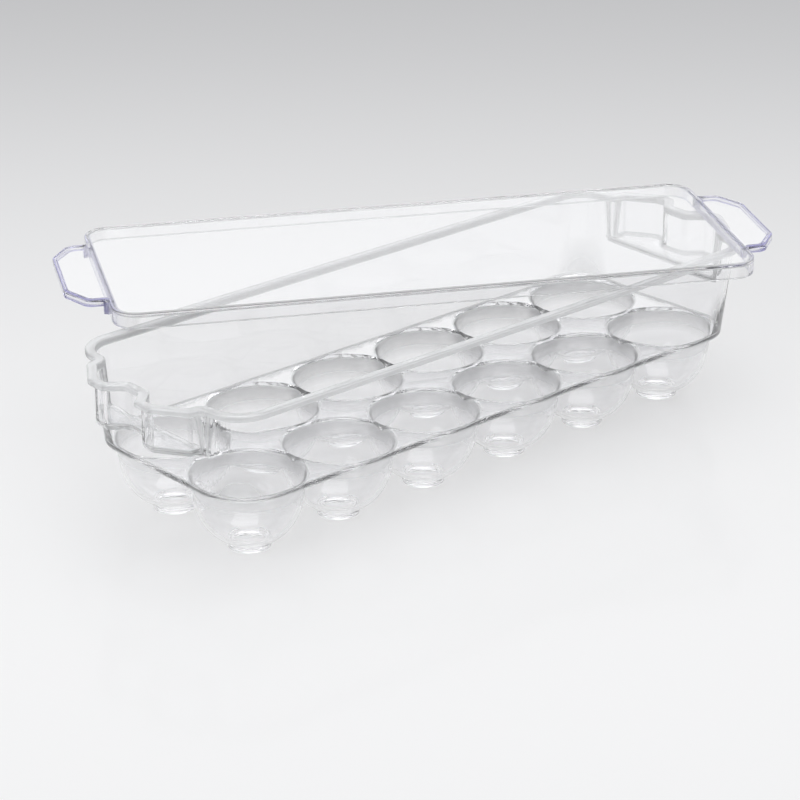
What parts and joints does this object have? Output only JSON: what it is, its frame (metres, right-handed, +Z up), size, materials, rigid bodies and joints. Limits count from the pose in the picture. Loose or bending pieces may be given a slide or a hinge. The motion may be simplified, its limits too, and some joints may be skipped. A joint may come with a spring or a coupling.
{
  "type": "egg keeper with loose lid",
  "caption": "Clear plastic egg tray with rows of round cups, end handles and a rim, and a separate skirted lid with end tabs lying askew on it.",
  "frame": {"origin": "bottom centre of the outer box of the whole object, with the lid lying askew as pictured; the tray's own centre is 3.2 mm to the left and 32.6 mm to the front of it", "axes": "+X along the tray's length, +Y across it to the side where the lid overhangs most, +Z up"},
  "size_m": [0.3416, 0.2258, 0.0807],
  "materials": {
    "tray_clear": "crystal clear, polished mould finish",
    "lid_clear": "crystal clear, polished, faint violet tint at the edges"
  },
  "bodies": {
    "tray": {"tray": "tray_clear"},
    "lid": {"lid": "lid_clear"}
  },
  "joints": [
    {"name": "lid_lift", "type": "slide", "parent": "tray", "child": "lid", "axis": [0, 0, 1], "range_m": [0, 0.08]}
  ]
}
